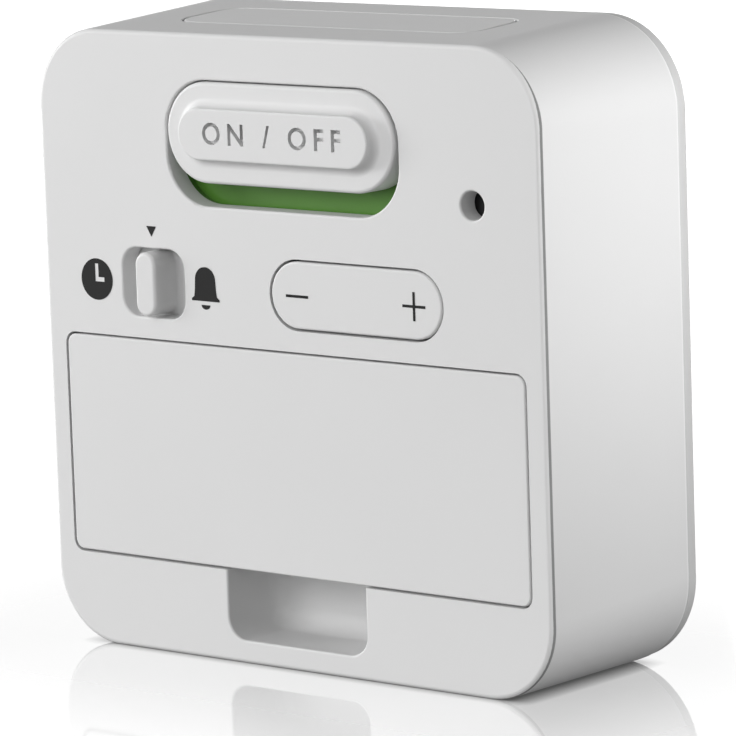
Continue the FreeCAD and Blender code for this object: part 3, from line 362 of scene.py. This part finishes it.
MATERIALS = {
    "case": solid("case_plastic", CASE, roughness=0.50, vary=0.006, specular=0.35, edge_highlight=True),
    # The front frame is the case's plastic made darker: painted shade of the front band.
    "frame": solid("frame_plastic", (0.56, 0.56, 0.56), roughness=0.50, vary=0.006, specular=0.35),
    # Painted shade: dark grey for the strip along the back's rounded edge
    "seam": solid("seam_shadow", (0.26, 0.26, 0.26), roughness=0.8, vary=0.1, specular=0.2),
    "key": solid("key_plastic", CASE, roughness=0.46, vary=0.006, specular=0.4),
    "green": solid("green_plastic", (0.080, 0.215, 0.028), roughness=0.30, vary=0.06),
    "window": solid("window_acrylic", (0.97, 0.98, 0.98), roughness=0.05, vary=0.005,
                    grain_strength=0.02, transmission=1.0, ior=1.49),
    "mask": solid("mask_print", (0.012, 0.012, 0.014), roughness=0.35, vary=0.1),
    "glass": solid("display_glass", (0.42, 0.46, 0.40), roughness=0.18, vary=0.02),
    "guide": solid("light_guide_acrylic", (0.85, 0.88, 0.88), roughness=0.25, vary=0.01),
    "lamp": solid("lamp_resin", (0.85, 0.80, 0.55), roughness=0.3),
    "white": solid("inner_plastic", (0.66, 0.66, 0.63), roughness=0.5),
    "rubber": solid("silicone_rubber", (0.20, 0.205, 0.21), roughness=0.65, vary=0.06),
    "foam": solid("gasket_foam", (0.015, 0.015, 0.015), roughness=0.95, vary=0.3, grain=3000.0,
                  grain_depth=0.08, grain_strength=0.8),
    "board": solid("board_lacquer", (0.012, 0.085, 0.030), roughness=0.32, vary=0.15),
    "resin": solid("black_resin", (0.012, 0.012, 0.014), roughness=0.4, vary=0.2),
    "steel": solid("plated_steel", (0.56, 0.56, 0.57), roughness=0.28, vary=0.05, metallic=1.0),
    "brass": solid("plated_pins", (0.72, 0.55, 0.22), roughness=0.25, vary=0.05, metallic=1.0),
    "aluminium": solid("can_aluminium", (0.62, 0.63, 0.65), roughness=0.35, metallic=1.0),
    "cone": solid("cone_film", (0.02, 0.02, 0.022), roughness=0.45, vary=0.2),
    "iron": solid("magnet_plating", (0.33, 0.33, 0.34), roughness=0.35, metallic=1.0),
    "nickel": solid("contact_nickel", (0.62, 0.60, 0.56), roughness=0.22, vary=0.06, metallic=1.0),
    "ink": solid("sign_ink", (0.012, 0.012, 0.012), roughness=0.7, vary=0.15, specular=0.2),
    "segment": solid("display_segment", (0.016, 0.019, 0.017), roughness=0.25, vary=0.1),
}

WEARS = {
    "case": ("rear_housing", "battery_door"),
    "frame": ("front_frame",),
    "key": ("alarm_slide", "selector_knob", "rocker_key", "talk_bar"),
    "green": ("alarm_track",),
    "window": ("display_window",),
    "mask": ("window_mask",),
    "glass": ("lcd_front_glass", "lcd_rear_glass"),
    "guide": ("light_guide",),
    "lamp": ("backlight_lamps",),
    "white": ("lcd_holder", "talk_switch", "link_header"),
    "rubber": ("contact_strips", "rocker_keypad", "bar_return_domes"),
    "foam": ("speaker_gasket",),
    "board": ("main_board", "switch_board"),
    "resin": ("voice_chip", "clock_chip", "alarm_switch_lever", "selector_switch_lever",
              "talk_stem"),
    "steel": ("main_board_screws", "switch_board_screws", "crystal_can", "alarm_switch_case",
              "selector_switch_case", "speaker_basket"),
    "brass": ("link_pins", "speaker_leads"),
    "aluminium": ("capacitors",),
    "cone": ("speaker_cone",),
    "iron": ("speaker_magnet",),
    "nickel": ("bridge_contact", "positive_contact", "negative_contact", "battery_springs"),
}


def wear(piece, material):
    piece.data.materials.clear()
    piece.data.materials.append(material)


def dress_nodes():
    for key, nodes in WEARS.items():
        for name in nodes:
            wear(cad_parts[name], MATERIALS[key])


def dress_cells():
    """Printed sleeves: a dark body with a copper coloured band at the nub's end."""
    for name in ("upper_cell", "lower_cell"):
        low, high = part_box(name)
        if name == "upper_cell":
            edges = (low.x, low.x + CELL_RIM, high.x - CELL_NUB - CELL_BAND_WIDTH,
                     high.x - CELL_NUB, high.x)
            colours = (CELL_STEEL, CELL_BODY, CELL_BAND, CELL_STEEL)
        else:
            edges = (low.x, low.x + CELL_NUB, low.x + CELL_NUB + CELL_BAND_WIDTH,
                     high.x - CELL_RIM, high.x)
            colours = (CELL_STEEL, CELL_BAND, CELL_BODY, CELL_STEEL)
        wear(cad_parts[name], banded(name + "_sleeve", colours, edges))


# Pieces

def new_piece(name, mesh, body, material):
    piece = bpy.data.objects.new(name, mesh)
    collection().objects.link(piece)
    wear(piece, material)
    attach(piece, body)
    return piece


def arc(centre, radius, start, turn, steps):
    """Points on an arc, with angles in degrees and a signed turn."""
    points = []
    for i in range(steps + 1):
        angle = math.radians(start + turn * i / steps)
        points.append((centre[0] + radius * math.cos(angle), centre[1] + radius * math.sin(angle)))
    return points


def weld(mesh, distance):
    work = bmesh.new()
    work.from_mesh(mesh)
    bmesh.ops.remove_doubles(work, verts=work.verts, dist=distance * MM)
    work.to_mesh(mesh)
    work.free()


def face_outward(mesh):
    work = bmesh.new()
    work.from_mesh(mesh)
    bmesh.ops.recalc_face_normals(work, faces=work.faces)
    work.to_mesh(mesh)
    work.free()


def evaluated_mesh(piece):
    bpy.context.view_layer.update()
    seen = piece.evaluated_get(bpy.context.evaluated_depsgraph_get())
    return bpy.data.meshes.new_from_object(seen)


def drawn_mesh(name, curve):
    """Closed mesh of a filled curve or of letters."""
    holder = bpy.data.objects.new(name, curve)
    collection().objects.link(holder)
    mesh = evaluated_mesh(holder)
    bpy.data.objects.remove(holder)
    weld(mesh, DRAWN_WELD)
    face_outward(mesh)
    mesh.name = name
    return mesh


def flat_mesh(name, outlines, thickness):
    """Plate from closed outlines in millimetres. An outline inside another is a hole."""
    curve = bpy.data.curves.new(name, "CURVE")
    curve.dimensions = "2D"
    curve.fill_mode = "BOTH"
    curve.extrude = thickness / 2 * MM
    for points in outlines:
        spline = curve.splines.new("POLY")
        spline.points.add(len(points) - 1)
        for point, (u, v) in zip(spline.points, points):
            point.co = (u * MM, v * MM, 0, 1)
        spline.use_cyclic_u = True
    return drawn_mesh(name, curve)


def stand(mesh, turn, x, y, z):
    """Stands a flat mesh upright with one of the turns above, its middle at a place."""
    mesh.transform(Matrix.Translation(metres(x, y, z)) @ turn)


def printed(name, outlines, x, z, surface, body):
    mesh = flat_mesh(name, outlines, INK_THICKNESS)
    stand(mesh, TOWARDS_BACK, x, surface + INK_LIFT + INK_THICKNESS / 2, z)
    return new_piece(name, mesh, body, MATERIALS["ink"])


def printed_on_back(name, outlines, x, z):
    return printed(name, outlines, x, z, BACK_PLANE, "clock_case")


def printed_on_rocker(name, outlines, x, z):
    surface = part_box("rocker_key")[1].y / MM
    return printed(name, outlines, x, z, surface, "set_rocker")


def bar_outline(width, height):
    a, b = width / 2, height / 2
    return [(-a, -b), (a, -b), (a, b), (-a, b)]


def plus_outline(length, stroke):
    a, b = length / 2, stroke / 2
    return [(-a, -b), (-b, -b), (-b, -a), (b, -a), (b, -b), (a, -b),
            (a, b), (b, b), (b, a), (-b, a), (-b, b), (-a, b)]


def clock_sign():
    """Round clock face with its hands left open."""
    half = HAND_WIDTH / 2
    hands = [(-half, -half), (HAND_SIDE, -half), (HAND_SIDE, half), (half, half), (half, HAND_UP),
             (-half, HAND_UP)]
    face = arc((0, 0), CLOCK_RADIUS, 0, 360, CLOCK_STEPS)[:-1]
    printed_on_back("clock_sign", [face, hands], CLOCK_X, CLOCK_Z)


def bell_sign():
    """Bell with a round head, sides that flare to a rim, and a clapper below it."""
    head = BELL_TOP - BELL_BASE - BELL_HALF
    side = [(BELL_HALF + BELL_FLARE, 0), (BELL_HALF + BELL_FLARE, BELL_RIM / 2),
            (BELL_HALF + BELL_SKIRT_FLARE, BELL_RIM),
            (BELL_HALF + BELL_WAIST_FLARE, BELL_RIM + BELL_WAIST_RISE)]
    body = arc((0, head), BELL_HALF, 0, 180, BELL_STEPS)
    body += [(-u, v) for u, v in reversed(side)] + side
    printed_on_back("bell_sign", [body], BELL_X, BELL_BASE)
    clapper = [(-CLAPPER_HALF, 0), (CLAPPER_HALF, 0)]
    for i in range(1, CLAPPER_STEPS):
        u = CLAPPER_HALF * math.cos(math.pi * (1 - i / CLAPPER_STEPS))
        clapper.append((-u, -CLAPPER_DROP * math.sqrt(1 - (u / CLAPPER_HALF) ** 2)))
    printed_on_back("bell_clapper_sign", [clapper], BELL_X, CLAPPER_TOP)


def pointer_sign():
    """Small triangle that points down at the selector's middle place."""
    triangle = [(-POINTER_HALF, 0), (0, -POINTER_HEIGHT), (POINTER_HALF, 0)]
    knob_low, knob_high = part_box("selector_knob")
    printed_on_back("pointer_sign", [triangle], (knob_low.x + knob_high.x) / 2 / MM, POINTER_Z)


def rocker_signs():
    printed_on_rocker("minus_sign", [bar_outline(SIGN_LENGTH, STROKE)], MINUS_X, SIGN_Z)
    printed_on_rocker("plus_sign", [plus_outline(SIGN_LENGTH, STROKE)], PLUS_X, SIGN_Z)


def text_mesh(name, words, height, thickness):
    """Plain sans letters from Blender's own font, centred, as a closed mesh."""
    text = bpy.data.curves.new(name, "FONT")
    text.body = words
    text.size = height / CAPITAL_SHARE * MM
    text.align_x = "CENTER"
    text.align_y = "CENTER"
    text.space_character = LETTER_SPACING
    text.extrude = thickness / 2 * MM
    text.offset = LETTER_BOLDNESS * MM
    text.resolution_u = LETTER_CURVES
    return drawn_mesh(name, text)


def welded_copy(node, name):
    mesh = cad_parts[node].data.copy()
    mesh.name = name
    weld(mesh, COPY_WELD)
    return mesh


def lettered_slide():
    """Alarm slide with ON and OFF sunk into the face of its pad."""
    low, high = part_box("alarm_slide")
    mesh = welded_copy("alarm_slide", "alarm_slide_lettered")
    piece = new_piece("alarm_slide_lettered", mesh, "alarm_slider", MATERIALS["key"])
    letters = text_mesh("letter_cutter", "ON / OFF", LETTER_HEIGHT, 2 * LETTER_DEPTH)
    stand(letters, TOWARDS_BACK, (low.x + high.x) / 2 / MM, high.y / MM, (low.z + high.z) / 2 / MM)
    cutter = bpy.data.objects.new("letter_cutter", letters)
    collection().objects.link(cutter)
    cut = piece.modifiers.new("letters", "BOOLEAN")
    cut.operation = "DIFFERENCE"
    cut.solver = "EXACT"
    cut.object = cutter
    done = evaluated_mesh(piece)
    piece.modifiers.clear()
    piece.data = done
    bpy.data.objects.remove(cutter)
    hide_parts("alarm_slide")
    return piece


def case_section(depth, inset):
    """Half width, height and corner radius of the case at a depth, drawn in by an inset."""
    share = depth / CASE_DEPTH
    return (BACK_HALF + SIDE_FLARE * share - inset, BACK_HEIGHT + TOP_FLARE * share - inset,
            BACK_CORNER + SIDE_FLARE * share - inset)


def section_point(depth, inset, corner, angle):
    """Point on one corner of the case's section, at an angle counted from +X towards +Z."""
    half, top, radius = case_section(depth, inset)
    x = corner[0] * (half - radius) + radius * math.cos(math.radians(angle))
    middle = top - radius if corner[1] > 0 else max(inset, 0.0) + radius
    return metres(x, BACK_PLANE - depth, middle + radius * math.sin(math.radians(angle)))


def round_inset(depth):
    """How far the rounded edge of the back lies inside the case's side at a depth."""
    short = max(BACK_ROUND - depth, 0.0)
    return BACK_ROUND - math.sqrt(BACK_ROUND ** 2 - short ** 2)


def seam_profile(share):
    """Closed section of the painted shade line, whose width is a share of the full one."""
    middle = (SHADE_LINE_START + SHADE_LINE_END) / 2
    depths = [middle + (depth - middle) * share
              for depth in (SHADE_LINE_START, (SHADE_LINE_START + middle) / 2, middle, SHADE_LINE_END)]
    outer = [(depth, round_inset(depth) - SHADE_LINE_PROUD * share) for depth in depths]
    inner = [(depth, round_inset(depth) + SHADE_LINE_SUNK) for depth in (depths[-1], depths[0])]
    return outer + inner


def case_seam():
    """Thin dark strip of painted shade next to the back, along the sides and underneath, where the
    back's rounded edge is in shade.
    """
    stops = []
    for corner, start, end in (((-1, 1), 180 - SHADE_LINE_END_ANGLE, 180), ((-1, -1), 180, 270),
                               ((1, -1), 270, 360), ((1, 1), 360, 360 + SHADE_LINE_END_ANGLE)):
        stops += [(corner, start + (end - start) * i / SHADE_LINE_STEPS)
                  for i in range(SHADE_LINE_STEPS + 1)]
    work = bmesh.new()
    rings = []
    for corner, angle in stops:
        from_end = min(angle - 180 + SHADE_LINE_END_ANGLE, 360 + SHADE_LINE_END_ANGLE - angle)
        share = max(min(from_end / SHADE_LINE_TAPER, 1.0), SHADE_LINE_TIP)
        rings.append([work.verts.new(section_point(depth, inset, corner, angle))
                      for depth, inset in seam_profile(share)])
    for ring, following in zip(rings, rings[1:]):
        for i, vertex in enumerate(ring):
            j = (i + 1) % len(ring)
            work.faces.new((vertex, ring[j], following[j], following[i]))
    work.faces.new(rings[0])
    work.faces.new(rings[-1][::-1])
    bmesh.ops.recalc_face_normals(work, faces=work.faces)
    mesh = bpy.data.meshes.new("case_seam")
    work.to_mesh(mesh)
    work.free()
    return new_piece("case_seam", mesh, "clock_case", MATERIALS["seam"])


def inward_from_side(x, z, depth):
    """Distance from the front frame's outer side, and the direction out of it."""
    half, top, radius = case_section(depth, FRAME_INSET)
    middle = (top + FRAME_INSET) / 2
    away = Vector((abs(x) - half + radius, abs(z - middle) - (top - FRAME_INSET) / 2 + radius))
    out = Vector((max(away.x, 0.0), max(away.y, 0.0)))
    if out.length == 0:
        return radius, out
    distance = radius - out.length
    out.normalize()
    return distance, Vector((math.copysign(out.x, x), math.copysign(out.y, z - middle)))


def crisp_frame():
    """Front frame whose outer edge is drawn towards its corner, which makes the round smaller."""
    mesh = welded_copy("front_frame", "front_frame_crisp")
    keep = FRAME_EDGE / FRAME_ROUND
    for vertex in mesh.vertices:
        x, y, z = (length / MM for length in vertex.co)
        ahead = CASE_DEPTH - BACK_PLANE + y
        distance, out = inward_from_side(x, z, BACK_PLANE - y)
        if max(ahead, distance) <= FRAME_ROUND + FRAME_SLACK:
            shift = out * distance * (1 - keep)
            vertex.co = metres(x + shift.x, y - ahead * (1 - keep), z + shift.y)
    for face in mesh.polygons:
        face.use_smooth = True
    mesh.set_sharp_from_angle(angle=math.radians(FRAME_SHARP_ANGLE))
    piece = new_piece("front_frame_crisp", mesh, "clock_case", MATERIALS["frame"])
    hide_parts("front_frame")
    return piece


def segment_outline(u0, v0, u1, v1):
    """One leaning segment with pointed ends, from one corner of the digit to the next."""
    along = Vector((u1 - u0, v1 - v0)).normalized()
    side = Vector((-along.y, along.x)) * DIGIT_STROKE / 2
    a = Vector((u0, v0)) + along * DIGIT_STROKE * SEGMENT_GAP
    b = Vector((u1, v1)) - along * DIGIT_STROKE * SEGMENT_GAP
    tip = along * DIGIT_STROKE / 2
    points = [a, a + tip + side, b - tip + side, b, b - tip - side, a + tip - side]
    return [(p.x + DIGIT_LEAN * p.y, p.y) for p in points]


def digit_outlines(character, centre):
    w, h = DIGIT_WIDTH / 2 - DIGIT_STROKE / 2, DIGIT_HEIGHT / 2 - DIGIT_STROKE / 2
    ends = {"a": (-w, h, w, h), "b": (w, h, w, 0), "c": (w, 0, w, -h), "d": (-w, -h, w, -h),
            "e": (-w, 0, -w, -h), "f": (-w, h, -w, 0), "g": (-w, 0, w, 0)}
    return [[(u + centre, v) for u, v in segment_outline(*ends[key])]
            for key in SEGMENTS_SHOWN[character]]


def display_digits():
    """Seven segment time on the front of the display glass."""
    low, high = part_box("lcd_front_glass")
    surface = low.y / MM
    middle_z = (low.z + high.z) / 2 / MM
    outlines = []
    for character, centre in zip(TIME_DIGITS, TIME_PLACES):
        outlines += digit_outlines(character, centre)
    for v in (-COLON_HALF_GAP, COLON_HALF_GAP):
        outlines.append([(u + DIGIT_LEAN * v + COLON_X, w + v)
                         for u, w in bar_outline(DIGIT_STROKE, DIGIT_STROKE)])
    mesh = flat_mesh("display_digits", outlines, INK_THICKNESS)
    stand(mesh, TOWARDS_FRONT, 0, surface - INK_LIFT - INK_THICKNESS / 2, middle_z + TIME_RISE)
    return new_piece("display_digits", mesh, "clock_case", MATERIALS["segment"])


# Stage, light and camera

def stage_material():
    """White floor with a contact shadow and a reflection that fades out."""
    material = new_material("stage_floor")
    tree = material.node_tree
    output = add_node(tree, "ShaderNodeOutputMaterial")
    diffuse = add_node(tree, "ShaderNodeBsdfDiffuse")
    diffuse.inputs["Color"].default_value = (FLOOR_DIFFUSE, FLOOR_DIFFUSE, FLOOR_DIFFUSE, 1)
    glow = add_node(tree, "ShaderNodeEmission")
    path = add_node(tree, "ShaderNodeLightPath")
    near = add_node(tree, "ShaderNodeAmbientOcclusion")
    near.inputs["Distance"].default_value = CONTACT_REACH * MM
    contact = maths(tree, "POWER", near.outputs["AO"], CONTACT_POWER)
    seen = path.outputs["Is Camera Ray"]
    shown = maths(tree, "MULTIPLY", maths(tree, "MULTIPLY", contact, FLOOR_GLOW), seen)
    unseen = maths(tree, "MULTIPLY", maths(tree, "SUBTRACT", 1.0, seen), FLOOR_FILL)
    tree.links.new(maths(tree, "ADD", shown, unseen), glow.inputs["Strength"])
    both = add_node(tree, "ShaderNodeAddShader")
    tree.links.new(diffuse.outputs["BSDF"], both.inputs[0])
    tree.links.new(glow.outputs["Emission"], both.inputs[1])
    gloss = add_node(tree, "ShaderNodeBsdfGlossy")
    gloss.inputs["Roughness"].default_value = FLOOR_ROUGHNESS
    mix = add_node(tree, "ShaderNodeMixShader")
    tree.links.new(maths(tree, "MULTIPLY", seen, reflection_fade(tree)), mix.inputs["Fac"])
    tree.links.new(both.outputs["Shader"], mix.inputs[1])
    tree.links.new(gloss.outputs["BSDF"], mix.inputs[2])
    tree.links.new(mix.outputs["Shader"], output.inputs["Surface"])
    return material


def reflection_fade(tree):
    """Strength of the floor's reflection, which falls with the distance from the clock's foot."""
    half = (cad_box[1] - cad_box[0]) / 2
    coordinates = add_node(tree, "ShaderNodeTexCoord")
    fold = add_node(tree, "ShaderNodeVectorMath", operation="ABSOLUTE")
    tree.links.new(coordinates.outputs["Object"], fold.inputs[0])
    beyond = add_node(tree, "ShaderNodeVectorMath", operation="SUBTRACT")
    beyond.inputs[1].default_value = (half.x, half.y, 0)
    tree.links.new(fold.outputs["Vector"], beyond.inputs[0])
    outside = add_node(tree, "ShaderNodeVectorMath", operation="MAXIMUM")
    outside.inputs[1].default_value = (0, 0, 0)
    tree.links.new(beyond.outputs["Vector"], outside.inputs[0])
    distance = add_node(tree, "ShaderNodeVectorMath", operation="LENGTH")
    tree.links.new(outside.outputs["Vector"], distance.inputs[0])
    fade = add_node(tree, "ShaderNodeMapRange", interpolation_type="SMOOTHSTEP")
    fade.inputs["From Min"].default_value = 0
    fade.inputs["From Max"].default_value = REFLECTION_REACH * MM
    fade.inputs["To Min"].default_value = REFLECTION
    fade.inputs["To Max"].default_value = 0
    tree.links.new(distance.outputs["Value"], fade.inputs["Value"])
    return fade.outputs["Result"]


def make_stage():
    work = bmesh.new()
    corners = [work.verts.new(metres(x, y, 0))
               for x, y in bar_outline(2 * FLOOR_REACH, 2 * FLOOR_REACH)]
    work.faces.new(corners)
    mesh = bpy.data.meshes.new("stage_floor")
    work.to_mesh(mesh)
    work.free()
    floor = bpy.data.objects.new("stage_floor", mesh)
    collection().objects.link(floor)
    wear(floor, stage_material())


def seen_directly(tree):
    """1 for rays that show the background itself: camera, mirror and see-through rays."""
    path = add_node(tree, "ShaderNodeLightPath")
    seen = path.outputs["Is Camera Ray"]
    for kind in ("Is Glossy Ray", "Is Transmission Ray"):
        seen = maths(tree, "MAXIMUM", seen, path.outputs[kind])
    return seen


def make_world():
    """White backdrop, and a softer ambient light that comes mostly from the side of the back."""
    world = bpy.data.worlds.new("studio")
    bpy.context.scene.world = world
    world.use_nodes = True
    tree = world.node_tree
    tree.nodes.clear()
    output = add_node(tree, "ShaderNodeOutputWorld")
    coordinates = add_node(tree, "ShaderNodeTexCoord")
    split = add_node(tree, "ShaderNodeSeparateXYZ")
    tree.links.new(coordinates.outputs["Generated"], split.inputs["Vector"])
    steep = maths(tree, "MULTIPLY", split.outputs["Z"], split.outputs["Z"])
    level = maths(tree, "MULTIPLY", maths(tree, "SUBTRACT", 1.0, steep), AMBIENT_LEVEL)
    behind = maths(tree, "MULTIPLY", maths(tree, "MAXIMUM", split.outputs["Y"], 0.0), AMBIENT_BACK)
    both = maths(tree, "ADD", level, behind)
    ambient = add_node(tree, "ShaderNodeBackground")
    tree.links.new(both, ambient.inputs["Strength"])
    white = add_node(tree, "ShaderNodeBackground")
    for background in (ambient, white):
        background.inputs["Color"].default_value = (1, 1, 1, 1)
    mix = add_node(tree, "ShaderNodeMixShader")
    tree.links.new(seen_directly(tree), mix.inputs["Fac"])
    tree.links.new(ambient.outputs["Background"], mix.inputs[1])
    tree.links.new(white.outputs["Background"], mix.inputs[2])
    tree.links.new(mix.outputs["Shader"], output.inputs["Surface"])


def softbox(name, place, target, size, watts):
    light = bpy.data.lights.new(name, "AREA")
    light.shape = "RECTANGLE"
    light.size, light.size_y = size[0] * MM, size[1] * MM
    light.energy = watts
    lamp = bpy.data.objects.new(name, light)
    lamp.location = metres(*place)
    lamp.rotation_euler = (metres(*target) - lamp.location).to_track_quat("-Z", "Y").to_euler()
    lamp.visible_camera = False
    collection().objects.link(lamp)


def make_camera():
    camera = bpy.data.cameras.new("camera")
    camera.sensor_fit = "HORIZONTAL"
    camera.sensor_width = SENSOR
    camera.lens = FOCAL_PIXELS / PHOTO_PIXELS * SENSOR
    camera.clip_start = CLIP_START * MM
    holder = bpy.data.objects.new("camera", camera)
    right, down, forward = (Vector(axis) for axis in (CAMERA_RIGHT, CAMERA_DOWN, CAMERA_FORWARD))
    turn = Matrix((right, -down, -forward)).transposed().to_4x4()
    holder.matrix_world = Matrix.Translation(metres(*CAMERA_PLACE)) @ turn
    collection().objects.link(holder)
    bpy.context.scene.camera = holder


bpy.context.scene.view_settings.view_transform = "Standard"
make_camera()
make_stage()
make_world()
for light_name, settings in SOFTBOXES.items():
    softbox(light_name, *settings)
dress_nodes()
dress_cells()
clock_sign()
bell_sign()
pointer_sign()
rocker_signs()
lettered_slide()
crisp_frame()
case_seam()
display_digits()
